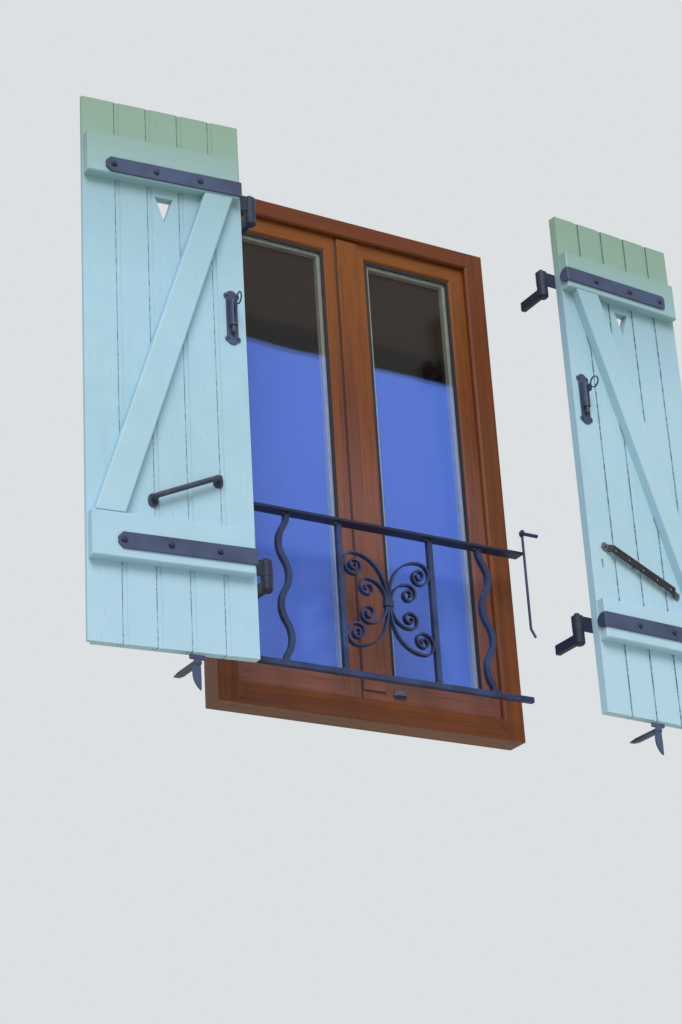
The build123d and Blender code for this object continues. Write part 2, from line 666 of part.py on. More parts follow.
def stay_hook():
    """The hanging hook: a ring, a straight stem and a bent tip."""
    loop = HOOK_PIN + PIN_PLAY + HOOK_WIRE
    ring = Rot(0, 90, 0) * Torus(loop, HOOK_WIRE)
    foot = -HOOK_LENGTH
    tip_y = -HOOK_TIP * sin(radians(HOOK_TIP_ANGLE))
    tip_z = foot - HOOK_TIP * cos(radians(HOOK_TIP_ANGLE))
    line = FilletPolyline((0, -loop), (0, foot), (tip_y, tip_z), radius=HOOK_WIRE * 3)
    path = Plane.YZ * line
    stem = sweep(Plane(origin=path @ 0, z_dir=path % 0) * Circle(HOOK_WIRE), path=path)
    return hook_place() * (ring + stem)


def stay_hook_pin():
    """The headed pin that the hook hangs from, with the shank that is set in the jamb."""
    wall = RAIL_HALF_WIDTH - HOOK_X
    head = HOOK_WIRE + 1
    start = Align.CENTER, Align.CENTER, Align.MIN
    pin = Pos(-head, 0, 0) * Rot(0, 90, 0) * Cylinder(HOOK_PIN, head + wall, align=start)
    cap = Pos(-head - 3, 0, 0) * Rot(0, 90, 0) * Cone(HOOK_PIN, HOOK_PIN * 2, 3, align=start)
    shank = Pos(wall, 0, 0) * Rot(0, 90, 0) * Cylinder(HOOK_SHANK, HOOK_SHANK_LENGTH, align=start)
    return hook_place() * (pin + cap + shank)


# Guard rail

def guard_rails():
    """The flat handrail and the square foot rail."""
    depth, height = TOP_RAIL_BAR
    half = FOOT_RAIL_BAR / 2
    ends = (-RAIL_HALF_WIDTH, RAIL_HALF_WIDTH)
    top = block(ends, (RAIL_Y - depth / 2, RAIL_Y + depth / 2), (TOP_RAIL_TOP - height, TOP_RAIL_TOP))
    top = chamfer(top.edges().filter_by(Axis.X), 1)
    foot = block(ends, (RAIL_Y - half, RAIL_Y + half), (FOOT_RAIL_TOP - FOOT_RAIL_BAR, FOOT_RAIL_TOP))
    foot = chamfer(foot.edges().filter_by(Axis.X), 1)
    return Compound(children=[top, foot])


def wavy_bar():
    """A square bar forged to even waves, from the handrail down, as an outline."""
    top = TOP_RAIL_TOP - TOP_RAIL_BAR[1]
    quarter = (top - FOOT_RAIL_TOP) / (2 * HALF_WAVES + 1 + WAVE_FOOT)
    tilt = 2 * atan2(WAVE_DEPTH, quarter)
    radius = quarter / sin(tilt)
    lean = degrees(tilt)
    bends = [(radius, lean)]
    for index in range(HALF_WAVES):
        bends.append((radius, 2 * lean if index % 2 else -2 * lean))
    bends.append((radius * WAVE_FOOT, -lean))
    return bent_bar((-WAVE_DEPTH, top), -90, bends, BAR)


def guard_bars():
    """Two straight uprights and two wavy ones."""
    low = FOOT_RAIL_TOP
    high = TOP_RAIL_TOP - TOP_RAIL_BAR[1]
    outline = wavy_bar()
    bars = []
    for hand in (-1, 1):
        straight = Pos(hand * BAR_X, (low + high) / 2) * Rectangle(BAR, high - low)
        bars.append(plate(straight, RAIL_Y - BAR / 2, BAR))
        wavy = plate(Pos(WAVY_X, 0) * outline, RAIL_Y - BAR / 2, BAR)
        bars.append(wavy if hand > 0 else mirror(wavy, about=Plane.YZ))
    return Compound(children=bars)


def scroll(start, bends):
    """One C scroll: a straight through the collar and a curl at each end."""
    half = COLLAR_HEIGHT / 2
    upper = plate(bent_bar((start, half), 90, bends, SCROLL_THICKNESS), -BAR / 2, BAR)
    waist = plate(Pos(start, 0) * Rectangle(SCROLL_THICKNESS, COLLAR_HEIGHT), -BAR / 2, BAR)
    return waist + upper + mirror(upper, about=Plane.XY)


def guard_scrolls():
    """Four C scrolls back to back, held by one collar between the straight bars."""
    outer = -SCROLL_GAP - SCROLL_THICKNESS / 2
    inner = outer - SCROLL_GAP - SCROLL_THICKNESS
    reach = BAR_X - BAR / 2 - SCROLL_GAP - SCROLL_THICKNESS / 2 + outer
    sweep_bends = [(share * reach, turn) for share, turn in SCROLL_SWEEP]
    (wide, first), (tight, second) = sweep_bends
    side_step = wide * (1 - cos(radians(first))) + tight * cos(radians(first))
    side_step -= tight * cos(radians(first + second))
    curl = reach - side_step
    outer_bends = sweep_bends + [(share * curl, turn) for share, turn in SCROLL_CURL]
    inner_bends = [(INNER_SWEEP * reach, 90.0)] + [(share * reach, turn) for share, turn in INNER_CURL]
    pieces = []
    for start, bends in ((outer, outer_bends), (inner, inner_bends)):
        left = scroll(start, bends)
        pieces += [left, mirror(left, about=Plane.YZ)]
    hole = -inner + SCROLL_THICKNESS / 2 + SCROLL_GAP
    depth = BAR / 2 + SCROLL_GAP
    collar = Box(2 * (hole + COLLAR_WALL), 2 * (depth + COLLAR_WALL), COLLAR_HEIGHT)
    collar = fillet(collar.edges().filter_by(Axis.Z), COLLAR_WALL)
    pieces.append(collar - Box(2 * hole, 2 * depth, COLLAR_HEIGHT))
    return Pos(0, RAIL_Y, SCROLL_HEIGHT) * Compound(children=pieces)


# Window

FRAME_HALF = FRAME_WIDTH / 2
LIP_HALF = FRAME_HALF - JAMB_FACE
REBATE = REBATE_OVERLAP + REBATE_GAP
REBATE_HALF = LIP_HALF + REBATE
LIP_LOW = SILL_FACE
LIP_HIGH = FRAME_HEIGHT - HEAD_FACE
LEAF_OUTER = REBATE_HALF - REBATE_GAP
LEAF_LOW = LIP_LOW - REBATE_OVERLAP
LEAF_HIGH = LIP_HIGH + REBATE_OVERLAP
HINGE_AXIS = (REBATE_HALF, LEAF_REAR + HINGE_RADIUS + REBATE_GAP / 8)
PANE_HEIGHTS = (LEAF_LOW + BOTTOM_RAIL, LEAF_HIGH - TOP_RAIL)
GLASS_FRONT = LEAF_FRONT + GLASS_SETBACK
GLASS_REAR = GLASS_FRONT + GLASS_UNIT
LEAF_SPAN = {
    "left": (-LEAF_OUTER, MEETING_LINE - MEETING_GAP / 2),
    "right": (MEETING_LINE + MEETING_GAP / 2, LEAF_OUTER),
}
PANE_SPAN = {
    "left": (LEAF_SPAN["left"][0] + OUTER_STILE, LEAF_SPAN["left"][1] - NARROW_MEETING_STILE),
    "right": (LEAF_SPAN["right"][0] + WIDE_MEETING_STILE, LEAF_SPAN["right"][1] - OUTER_STILE),
}
WIDE_STILE_MIDDLE = (LEAF_SPAN["right"][0] + PANE_SPAN["right"][0] - GLASS_EDGE) / 2


def opening(span, heights, grow):
    """An opening's outline, made larger by grow on every side."""
    (x0, x1), (z0, z1) = span, heights
    middle = Pos((x0 + x1) / 2, (z0 + z1) / 2)
    return middle * Rectangle(x1 - x0 + 2 * grow, z1 - z0 + 2 * grow)


def moulding(span, heights, front):
    """The splayed cut round the front of an opening, mitred at its corners."""
    wide = Plane.XZ.offset(-front) * opening(span, heights, MOULDING)
    narrow = Plane.XZ.offset(-front - MOULDING) * opening(span, heights, 0)
    return loft([wide, narrow])


def window_frame():
    """The rebated frame: two jambs with the head and the sill between them."""
    lip = (FRONT, FRONT + FRAME_LIP)
    body = (FRONT + FRAME_LIP, -FRONT)
    cut = moulding((-LIP_HALF, LIP_HALF), (LIP_LOW, LIP_HIGH), FRONT)
    jamb = block((LIP_HALF, FRAME_HALF), lip, (0, FRAME_HEIGHT))
    jamb += block((REBATE_HALF, FRAME_HALF), body, (0, FRAME_HEIGHT))
    jamb -= cut
    head = block((-LIP_HALF, LIP_HALF), lip, (LIP_HIGH, FRAME_HEIGHT))
    head += block((-REBATE_HALF, REBATE_HALF), body, (LIP_HIGH + REBATE, FRAME_HEIGHT))
    sill = block((-LIP_HALF, LIP_HALF), lip, (0, LIP_LOW))
    sill += block((-REBATE_HALF, REBATE_HALF), body, (0, LIP_LOW - REBATE))
    return {
        "frame_jamb_right": jamb,
        "frame_jamb_left": mirror(jamb, about=Plane.YZ),
        "frame_head": head - cut,
        "frame_sill": sill - cut,
    }


def hinge_heights():
    """The joint between the two halves of each window hinge."""
    low = LEAF_LOW + HINGE_INSET
    high = LEAF_HIGH - HINGE_INSET
    return low, (low + high) / 2, high


def sash(side):
    """One leaf: stiles and rails in one glued frame, with its hinge halves."""
    span = LEAF_SPAN[side]
    pane = PANE_SPAN[side]
    solid = block(span, (LEAF_FRONT, LEAF_REAR), (LEAF_LOW, LEAF_HIGH))
    depth = LEAF_THICKNESS
    solid -= plate(opening(pane, PANE_HEIGHTS, 0), LEAF_FRONT, depth)
    solid -= plate(opening(pane, PANE_HEIGHTS, GLASS_EDGE), GLASS_FRONT, depth - GLASS_SETBACK)
    solid -= moulding(pane, PANE_HEIGHTS, LEAF_FRONT)
    hand = 1 if side == "right" else -1
    edge = span[0] if side == "right" else span[1]
    taper = [(edge, LEAF_FRONT), (edge, LEAF_REAR), (edge + hand * MEETING_TAPER, LEAF_REAR)]
    solid -= Pos(0, 0, LEAF_LOW) * extrude(make_face(Polyline(*taper, close=True)), LEAF_HIGH - LEAF_LOW)
    x, y = HINGE_AXIS
    arm_end = LEAF_OUTER - HINGE_RADIUS
    start = Align.CENTER, Align.CENTER, Align.MIN
    for height in hinge_heights():
        low = height + SEAT_GAP
        barrel = Pos(x, y, low) * Cylinder(HINGE_RADIUS, HINGE_HALF, align=start)
        half = barrel + block((arm_end, x), (LEAF_REAR, y), (low, low + HINGE_HALF))
        bore = Cylinder(HINGE_PIN_RADIUS + PIN_PLAY, HINGE_BORE, align=start)
        half -= Pos(x, y, low) * bore
        solid += half if side == "right" else mirror(half, about=Plane.YZ)
    if side == "right":
        rose = Pos(WIDE_STILE_MIDDLE, HANDLE_HEIGHT) * SlotOverall(HANDLE_LENGTH, HANDLE_ROSE[0], rotation=90)
        solid += plate(rose, LEAF_REAR, HANDLE_ROSE[1])
    return solid


def frame_hinges():
    """The frame's halves of the window hinges, each with its pin."""
    x, y = HINGE_AXIS
    start = Align.CENTER, Align.CENTER, Align.MIN
    halves = []
    for height in hinge_heights():
        low = height - HINGE_HALF
        half = Pos(x, y, low) * Cylinder(HINGE_RADIUS, HINGE_HALF, align=start)
        half += block((x - HINGE_FOOT_INSET, x + HINGE_RADIUS * 2), (-FRONT, y), (low, height))
        half += Pos(x, y, height) * Cylinder(HINGE_PIN_RADIUS, HINGE_PIN_RISE, align=start)
        halves += [half, mirror(half, about=Plane.YZ)]
    return Compound(children=halves)


def glazing(side):
    """The sealed glass unit, its black gasket and the bead ring that holds it."""
    pane = PANE_SPAN[side]
    edge = GLASS_EDGE - GLASS_EDGE_GAP
    glass = plate(opening(pane, PANE_HEIGHTS, edge), GLASS_FRONT, GLASS_UNIT)
    ring = opening(pane, PANE_HEIGHTS, 0) - opening(pane, PANE_HEIGHTS, -GASKET)
    gasket = plate(ring, GLASS_FRONT - GASKET / 2, GASKET / 2)
    ring = opening(pane, PANE_HEIGHTS, GLASS_EDGE) - opening(pane, PANE_HEIGHTS, GLASS_EDGE - BEAD_WIDTH)
    beads = plate(ring, GLASS_REAR, LEAF_REAR - GLASS_REAR)
    return {f"{side}_glass": glass, f"{side}_gasket": gasket, f"{side}_glazing_beads": beads}


def cover_strip():
    """The flat strip on the wide meeting stile."""
    left = LEAF_SPAN["right"][0] + COVER_STRIP_INSET
    high = LIP_HIGH - REBATE_GAP
    middle = Pos(left + COVER_STRIP_WIDTH / 2, (COVER_STRIP_BOTTOM + high) / 2)
    outline = middle * Rectangle(COVER_STRIP_WIDTH, high - COVER_STRIP_BOTTOM)
    strip = plate(outline, LEAF_FRONT - COVER_STRIP_THICKNESS, COVER_STRIP_THICKNESS)
    front = strip.faces().sort_by(Axis.Y)[0]
    return chamfer(front.edges(), COVER_STRIP_THICKNESS / 3)


def window_handle():
    """The lever handle inside, hanging down when the window is shut."""
    x, z = WIDE_STILE_MIDDLE, HANDLE_HEIGHT
    seat = LEAF_REAR + HANDLE_ROSE[1] + SEAT_GAP
    width, thickness = HANDLE_GRIP
    radius, reach = HANDLE_NECK
    neck = bar_y(x, z, radius, seat, seat + reach)
    grip = Pos(x, z - HANDLE_LENGTH / 2 + width / 2) * SlotOverall(HANDLE_LENGTH, width, rotation=90)
    grip = plate(grip, seat + reach - thickness + SEAT_GAP, thickness)
    grip = chamfer(grip.edges().group_by(Axis.Y)[-1], thickness / 4)
    return neck + grip


def whole_part():
    """Every named piece in its place."""
    nodes = window_frame()
    for side in ("left", "right"):
        nodes[f"{side}_sash"] = sash(side)
        nodes.update(glazing(side))
        for name, solid in shutter(side).items():
            nodes[f"{side}_{name}"] = place(solid, side)
        for level in LEVELS:
            nodes[f"{side}_pintle_{level}"] = pintle(side, level)
        nodes[f"{side}_dog"] = dog(side)
        nodes[f"{side}_dog_spike"] = dog_spike(side)
    nodes["cover_strip"] = cover_strip()
    nodes["frame_hinges"] = frame_hinges()
    nodes["window_handle"] = window_handle()
    nodes["stay_hook"] = stay_hook()
    nodes["stay_hook_pin"] = stay_hook_pin()
    nodes["guard_rails"] = guard_rails()
    nodes["guard_bars"] = guard_bars()
    nodes["guard_scrolls"] = guard_scrolls()
    return nodes


os.makedirs("parts", exist_ok=True)
for name, solid in whole_part().items():
    export_step(solid, f"parts/{name}.step")
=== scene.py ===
# %% [markdown]
# # Painted window shutters, looked at from below
# The exact parts, two ledged and braced shutters, the window behind them and the
# wrought guard rail, come in as a fixed frame. This lesson dresses them: it stands up a
# camera and a quiet light, gives every piece its real finish, and models the few small
# things that the exact parts leave out.

# %% Load the exact parts
import bpy
import math
from mathutils import Matrix, Vector


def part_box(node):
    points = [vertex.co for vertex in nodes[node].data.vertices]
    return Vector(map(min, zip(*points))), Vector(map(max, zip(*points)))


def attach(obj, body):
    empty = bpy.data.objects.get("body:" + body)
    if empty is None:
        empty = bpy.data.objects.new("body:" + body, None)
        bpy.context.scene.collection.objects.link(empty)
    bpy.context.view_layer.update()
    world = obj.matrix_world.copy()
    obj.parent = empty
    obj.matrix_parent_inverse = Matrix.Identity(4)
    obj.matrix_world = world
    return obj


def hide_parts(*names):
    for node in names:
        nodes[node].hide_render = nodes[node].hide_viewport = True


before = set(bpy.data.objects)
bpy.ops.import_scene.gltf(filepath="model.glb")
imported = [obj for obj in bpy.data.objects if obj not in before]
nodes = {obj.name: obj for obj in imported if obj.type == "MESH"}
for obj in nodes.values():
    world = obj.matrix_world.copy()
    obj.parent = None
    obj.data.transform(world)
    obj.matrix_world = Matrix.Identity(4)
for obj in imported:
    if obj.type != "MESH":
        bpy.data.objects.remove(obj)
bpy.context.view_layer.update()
MM = 0.001

# %% [markdown]
# ## The camera
# The window is on an upper floor and the viewer stands below and to its left, so the
# camera looks up and turns right, and is held a little out of level. We could drag it
# about by eye. It is surer to write down where it stands and three angles, and to build
# its matrix from the three directions that they give: right, up and backwards.

# %% Stand the camera where the viewer stands
CAMERA_PLACE = Vector((-2.9535, -4.6469, -1.8623))
CAMERA_TURN = math.radians(32.0)
CAMERA_TILT = math.radians(24.06)
CAMERA_ROLL = math.radians(-3.51)
LENS = 80.64
SENSOR_WIDTH = 36
FARTHEST_SEEN = 500

ahead = Vector((math.sin(CAMERA_TURN) * math.cos(CAMERA_TILT),
                math.cos(CAMERA_TURN) * math.cos(CAMERA_TILT),
                math.sin(CAMERA_TILT)))
level = Vector((math.cos(CAMERA_TURN), -math.sin(CAMERA_TURN), 0))
above = level.cross(ahead)
right = level * math.cos(CAMERA_ROLL) + above * math.sin(CAMERA_ROLL)
up = above * math.cos(CAMERA_ROLL) - level * math.sin(CAMERA_ROLL)

camera_data = bpy.data.cameras.new("street_camera")
camera_data.lens = LENS
camera_data.sensor_width = SENSOR_WIDTH
camera_data.clip_end = FARTHEST_SEEN
camera = bpy.data.objects.new("street_camera", camera_data)
bpy.context.scene.collection.objects.link(camera)
facing = Matrix((right, up, -ahead)).transposed().to_4x4()
camera.matrix_world = Matrix.Translation(CAMERA_PLACE) @ facing
bpy.context.scene.camera = camera
print("camera looks along", [round(v, 3) for v in ahead])

# %% [markdown]
# ## Colours and nodes
# A colour picked on a screen is in sRGB, but the renderer adds light in a linear scale,
# so each hex value is turned to linear once, here. A material is a small graph of nodes.
# One function fills a node's sockets and one adds a node, so each finish below reads as
# a list of its steps, with every node and setting in the open.

# %% Helpers that every finish uses
def colour(hex_value):
    channels = [int(hex_value[i:i + 2], 16) / 255 for i in (1, 3, 5)]
    return [c / 12.92 if c <= 0.04045 else ((c + 0.055) / 1.055) ** 2.4 for c in channels] + [1.0]


def connect(tree, node, sockets):
    """A socket takes a node's result, one output of a node, a hex colour or a number."""
    for socket, value in sockets.items():
        if isinstance(value, bpy.types.Node):
            value = next(result for result in value.outputs if result.enabled)
        if isinstance(value, bpy.types.NodeSocket):
            tree.links.new(value, node.inputs[socket])
        elif isinstance(value, str):
            node.inputs[socket].default_value = colour(value)
        else:
            node.inputs[socket].default_value = value


def add(tree, kind, sockets=None, **settings):
    """A new node with its settings, its sockets filled."""
    node = tree.nodes.new(kind)
    for name, value in settings.items():
        setattr(node, name, value)
    connect(tree, node, sockets or {})
    return node


def new_material(name):
    material = bpy.data.materials.new(name)
    material.use_nodes = True
    tree = material.node_tree
    place = add(tree, "ShaderNodeTexCoord").outputs["Object"]
    return material, tree, tree.nodes["Principled BSDF"], place

# %% [markdown]
# Two steps come back in most finishes. The first is an uneven pattern whose cells have a
# real size in millimetres: Object coordinates are in metres, so a cell of 5 mm is a
# scale of 200. The second lays one more colour over the tone so far, but only where a
# pattern is high, as dirt, wear and bleaching do. The pattern may also be a height in
# metres, and the share of the new colour may be a number or a second pattern.

# %% A pattern by its real size, and a colour laid over where a pattern is high
def uneven(tree, place, size, detail, seed, rough=0.5):
    """A pattern from 0 to 1 with cells of size millimetres, one number or one per axis."""
    cells = size if isinstance(size, tuple) else (size, size, size)
    spot = add(tree, "ShaderNodeMapping", {
        "Vector": place, "Scale": [1000 / s for s in cells],
        "Location": (seed, seed * 0.7, seed * 1.3)})
    return add(tree, "ShaderNodeTexNoise", {
        "Vector": spot, "Scale": 1.0, "Detail": detail, "Roughness": rough})


def lay_over(tree, tone, second, pattern, start, full, part=1.0):
    """None of the second colour at start, and its full part at full, softly between."""
    where = add(tree, "ShaderNodeMapRange", {
        "Value": pattern, "From Min": start, "From Max": full, "To Max": part},
        interpolation_type="SMOOTHSTEP")
    return add(tree, "ShaderNodeMix", {0: where, 6: tone, 7: second}, data_type="RGBA")

# %% [markdown]
# ## Where a point is on its shutter
# Each shutter hangs at its own angle, so the world's axes don't run along its boards. A
# mapping node can undo a place and a turn. It gives each shutter its own axes: X from the
# pin across the boards, Y through them, Z up. The left one is mirrored by a scale of -1.

# %% Axes that turn with each shutter
PIN_PLACE = (0.4555, -0.2994)
OPEN_ANGLE = {"left": math.radians(5.28), "right": math.radians(3.98)}
PIN_TO_EDGE = 0.0405
PIN_TO_FACE = 0.034


def shutter_place(tree, place, side):
    hand = -1 if side == "left" else 1
    return add(tree, "ShaderNodeMapping", {
        "Vector": place, "Location": (hand * PIN_PLACE[0], PIN_PLACE[1], 0),
        "Rotation": (0, 0, hand * OPEN_ANGLE[side]), "Scale": (hand, 1, 1)}, vector_type="TEXTURE")

# %% [markdown]
# ## Shutter paint
# Softwood boards under brushed pale blue outdoor paint. What the eye gets is a satin
# surface, chalked a little and uneven in tone, with faint brush marks along each board.
# High up the paint is darker and greener, painted shade with a greenish painted bounce
# light, and low down it is paler, painted light. The right shutter is a shade paler than
# the left one. A few hair cracks run with the grain.
# A painted picture would have to be unwrapped on every board and would blur close by.
# Patterns with a real size need no unwrapping, and boards, ledgers and brace differ only
# in the way the marks run, so one function makes all three. Brush marks and cracks are
# really well under a millimetre wide, and are drawn coarser here so that they show.

# %% Brushed outdoor paint on softwood
PAINT = {"left": "#A9CEE0", "right": "#B0D3E1"}
# The low tone is painted light; the shaded and top tones are painted shade, the top one with a greenish
# painted bounce light too.
PAINT_LIT_LOW = {"left": "#B1D3E8", "right": "#BAD9EC"}
PAINT_CHALKED = {"left": "#A7CCDA", "right": "#ACD0DE"}
PAINT_SHADED = "#95B9CA"
PAINT_PALE = "#B6D7E8"
PAINT_TOP_SHADE_AND_BOUNCE = "#8AA58C"
PAINT_GRIME = "#8AA5AE"
PAINT_ROUGHNESS = (0.42, 0.6)
LOW_DOWN = (0.6, 0.1)
HIGHER_UP = (0.85, 1.2)
TOP_SHADE_HEIGHTS = (1.1, 1.43)
BOARD_GRAIN = (5, 5, 260)
BRUSH_MARKS = (3.2, 3.2, 90)
RAIN_RUNS = (26, 26, 300)
HAIR_CRACKS = (1.3, 1.3, 34)
FADED_AREAS = 380
SMALL_AREAS = 70
CRACK = "#4C6269"


def outdoor_paint(name, side, turn):
    material, tree, shader, place = new_material(name)
    own = shutter_place(tree, place, side)
    along = add(tree, "ShaderNodeMapping", {"Vector": own, "Rotation": (0, turn, 0)})
    height = add(tree, "ShaderNodeSeparateXYZ", {0: own}).outputs["Z"]
    grain = uneven(tree, along, BOARD_GRAIN, 4, 3.1)
    marks = uneven(tree, along, BRUSH_MARKS, 2, 8.2)
    cracks = uneven(tree, along, HAIR_CRACKS, 3, 15.2)
    faded = uneven(tree, own, FADED_AREAS, 3, 1.7)
    patches = uneven(tree, own, SMALL_AREAS, 4, 5.5)
    runs = uneven(tree, own, RAIN_RUNS, 4, 12.4)
    tone = lay_over(tree, PAINT[side], PAINT_CHALKED[side], faded, 0.35, 0.65)
    # Painted light and shade by height: paler low down, darker higher up, darker and greener at the top.
    tone = lay_over(tree, tone, PAINT_LIT_LOW[side], height, *LOW_DOWN, 0.7)
    tone = lay_over(tree, tone, PAINT_PALE, patches, 0.4, 0.75, 0.45)
    tone = lay_over(tree, tone, PAINT_SHADED, height, *HIGHER_UP, 0.6)
    tone = lay_over(tree, tone, PAINT_TOP_SHADE_AND_BOUNCE, height, *TOP_SHADE_HEIGHTS, 0.9)
    tone = lay_over(tree, tone, PAINT_GRIME, grain, 0.55, 0.78, 0.12)
    tone = lay_over(tree, tone, PAINT_GRIME, runs, 0.6, 0.8, 0.14)
    worn = add(tree, "ShaderNodeMapRange", {
        "Value": patches, "From Min": 0.55, "From Max": 0.68, "To Max": 0.65},
        interpolation_type="SMOOTHSTEP")
    tone = lay_over(tree, tone, CRACK, cracks, 0.65, 0.71, worn)
    gloss = add(tree, "ShaderNodeMapRange", {
        "Value": patches, "To Min": PAINT_ROUGHNESS[0], "To Max": PAINT_ROUGHNESS[1]})
    relief = add(tree, "ShaderNodeMath", {0: marks, 1: 0.5, 2: grain}, operation="MULTIPLY_ADD")
    raised = add(tree, "ShaderNodeBump", {"Height": relief, "Distance": 0.4 * MM, "Strength": 0.45})
    connect(tree, shader, {"Base Color": tone, "Roughness": gloss, "Normal": raised})
    return material, tree, shader, own, tone

# %% Paint the ledgers and the braces
LYING = math.radians(90)
BRACE_SLOPE = math.radians(-18)
paint_ledgers = {}
paint_brace = {}
for side in ("left", "right"):
    paint_ledgers[side] = outdoor_paint("satin_paint_on_" + side + "_ledgers", side, LYING)[0]
    paint_brace[side] = outdoor_paint("satin_paint_on_" + side + "_brace", side, BRACE_SLOPE)[0]
print("paint finishes:", len(paint_ledgers) + len(paint_brace))

# %% [markdown]
# The boards have the same paint, with painted shade in their joints besides, in broken dark
# dashes. A thin dark strip could be modelled in each joint, but a joint comes back every
# 84 mm, so a ping-pong of the way across the boards gives the distance from the nearest
# one. The painted shade is dark within a millimetre of it and gone at two. A long thin
# pattern breaks the line in dashes, and the shutter's outer edges, which are no joints,
# are left clean.

# %% The boards' paint, with painted shade in the joints
UPRIGHT = 0
BOARD_PITCH = 84 * MM
JOINT_MIDDLE = 0.8 * MM
JOINT_REACH = (2.2 * MM, 0.8 * MM)
JOINTS_FROM = 0.06
JOINTS_TO = 0.42
JOINT_SHADE = {"left": "#39474E", "right": "#6B8690"}
SHADE_DASHES = (400, 400, 11)

paint_boards = {}
for side in ("left", "right"):
    board_name = "satin_paint_on_" + side + "_boards"
    paint_boards[side], tree, shader, own, tone = outdoor_paint(board_name, side, UPRIGHT)
    across = add(tree, "ShaderNodeSeparateXYZ", {0: own}).outputs["X"]
    from_joint = add(tree, "ShaderNodeMath", {0: across, 1: JOINT_MIDDLE - PIN_TO_EDGE}, operation="ADD")
    from_joint = add(tree, "ShaderNodeMath", {0: from_joint, 1: BOARD_PITCH / 2}, operation="PINGPONG")
    # Painted shade in the joints, broken in dashes.
    shade_share = add(tree, "ShaderNodeMapRange", {
        "Value": uneven(tree, own, SHADE_DASHES, 3, 21.0, 0.7),
        "From Min": 0.42, "From Max": 0.58, "To Min": 0.1, "To Max": 0.85})
    for test, limit in (("GREATER_THAN", JOINTS_FROM), ("LESS_THAN", JOINTS_TO)):
        inside = add(tree, "ShaderNodeMath", {0: across, 1: limit}, operation=test)
        shade_share = add(tree, "ShaderNodeMath", {0: shade_share, 1: inside}, operation="MULTIPLY")
    tone = lay_over(tree, tone, JOINT_SHADE[side], from_joint, *JOINT_REACH, shade_share)
    connect(tree, shader, {"Base Color": tone})
print("paint finishes with dirty joints:", len(paint_boards))

# %% [markdown]
# ## Painted ironwork
# Straps, latches, dogs and rail are forged or rolled mild steel, painted dark slate.
# The brush fills the forge marks only in part, so the bump is soft and about 14 mm
# wide, and small rust freckles come through, drawn two or three times as large as real
# ones. The marks could be hammered into the mesh, but they are only some tenths of a
# millimetre deep, and a bump gives that to the light alone. Paint, forge skin and rust
# are no metals to the shader: the metallic value stays at zero, and the gloss comes
# from the roughness.

# %% Slate paint over forged steel, and dull oxidised steel
RUST = "#5B3A2A"
FORGE_MARKS = 14
WORN_AREAS = 90
RUST_FRECKLES = 3.5
PAINTED_SPECULAR = 0.35


def ironwork(name, base, dark, worn, rust_share, rough):
    material, tree, shader, place = new_material(name)
    hammer = uneven(tree, place, FORGE_MARKS, 2, 2.2)
    cloud = uneven(tree, place, WORN_AREAS, 4, 6.1)
    freckles = uneven(tree, place, RUST_FRECKLES, 3, 9.9)
    tone = lay_over(tree, dark, base, cloud, 0.3, 0.7)
    tone = lay_over(tree, tone, worn, hammer, 0.55, 0.85, 0.4)
    tone = lay_over(tree, tone, RUST, freckles, 0.66 - rust_share * 0.3, 0.78, rust_share)
    gloss = add(tree, "ShaderNodeMapRange", {
        "Value": cloud, "To Min": rough - 0.08, "To Max": rough + 0.12})
    relief = add(tree, "ShaderNodeMath", {0: freckles, 1: 0.2, 2: hammer}, operation="MULTIPLY_ADD")
    raised = add(tree, "ShaderNodeBump", {"Height": relief, "Distance": 0.5 * MM, "Strength": 0.5})
    connect(tree, shader, {"Base Color": tone, "Roughness": gloss, "Normal": raised,
                           "Specular IOR Level": PAINTED_SPECULAR})
    return material, tree, shader, place, tone


IRONS = {
    "slate_painted_strap_steel": ("#465374", "#39435E", "#5A678A", 0.1, 0.45),
    "dark_painted_rail_steel": ("#33436E", "#262F4C", "#4B5B86", 0.1, 0.4),
    "dark_painted_pintle_steel": ("#2A334E", "#1B2134", "#434F70", 0.12, 0.5),
    "dark_painted_bolt_steel": ("#28324F", "#1A2036", "#66779F", 0.0, 0.28),
    "dull_oxidised_forged_steel": ("#454C63", "#303442", "#6C7080", 0.12, 0.5),
    "thinly_painted_weld_metal": ("#827C6E", "#5A564F", "#9A9484", 0.4, 0.5),
}
strap_iron, rail_iron, pintle_iron, bolt_iron, handle_iron, weld_iron = [
    ironwork(name, *values)[0] for name, values in IRONS.items()]
print("ironwork finishes:", len(IRONS))

# %% [markdown]
# The stay bar is nearly black with brown rust where the hook rubs, but its end tabs,
# which lie flat on the boards, were painted over with the shutter and look greyer. The
# latch's bolt is painted too, but its tip, which wears in its keeper, shows brown metal.
# The handrail is darker than the foot rail. Each could be cut in two
# pieces with two materials, but then the edge between them would be hard. All three are
# the same ironwork with one more colour laid over, set by where the point is.

# %% The stay bar's tabs, the latch bolt's tip and the handrail
TAB_DEPTH = (6 * MM, 3 * MM)
TAB_TONE = "#7C8F96"
TIP_HEIGHT = (0.861, 0.855)
TIP_TONE = "#45403A"
HANDRAIL_HEIGHT = (0.42, 0.46)
HANDRAIL_TONE = "#1B2034"

stay_iron, tree, shader, place, tone = ironwork(
    "rusting_black_steel", "#2C2A31", "#1B181D", "#443F40", 0.3, 0.55)
depth = add(tree, "ShaderNodeSeparateXYZ", {0: shutter_place(tree, place, "right")}).outputs["Y"]
above_face = add(tree, "ShaderNodeMath", {0: -PIN_TO_FACE, 1: depth}, operation="SUBTRACT")
tone = lay_over(tree, tone, TAB_TONE, above_face, *TAB_DEPTH, 0.6)
connect(tree, shader, {"Base Color": tone})

latch_iron, tree, shader, place, tone = ironwork(
    "painted_steel_worn_at_the_tip", "#3D496A", "#30384F", "#53617F", 0.12, 0.42)
height = add(tree, "ShaderNodeSeparateXYZ", {0: place}).outputs["Z"]
connect(tree, shader, {"Base Color": lay_over(tree, tone, TIP_TONE, height, *TIP_HEIGHT, 0.6)})

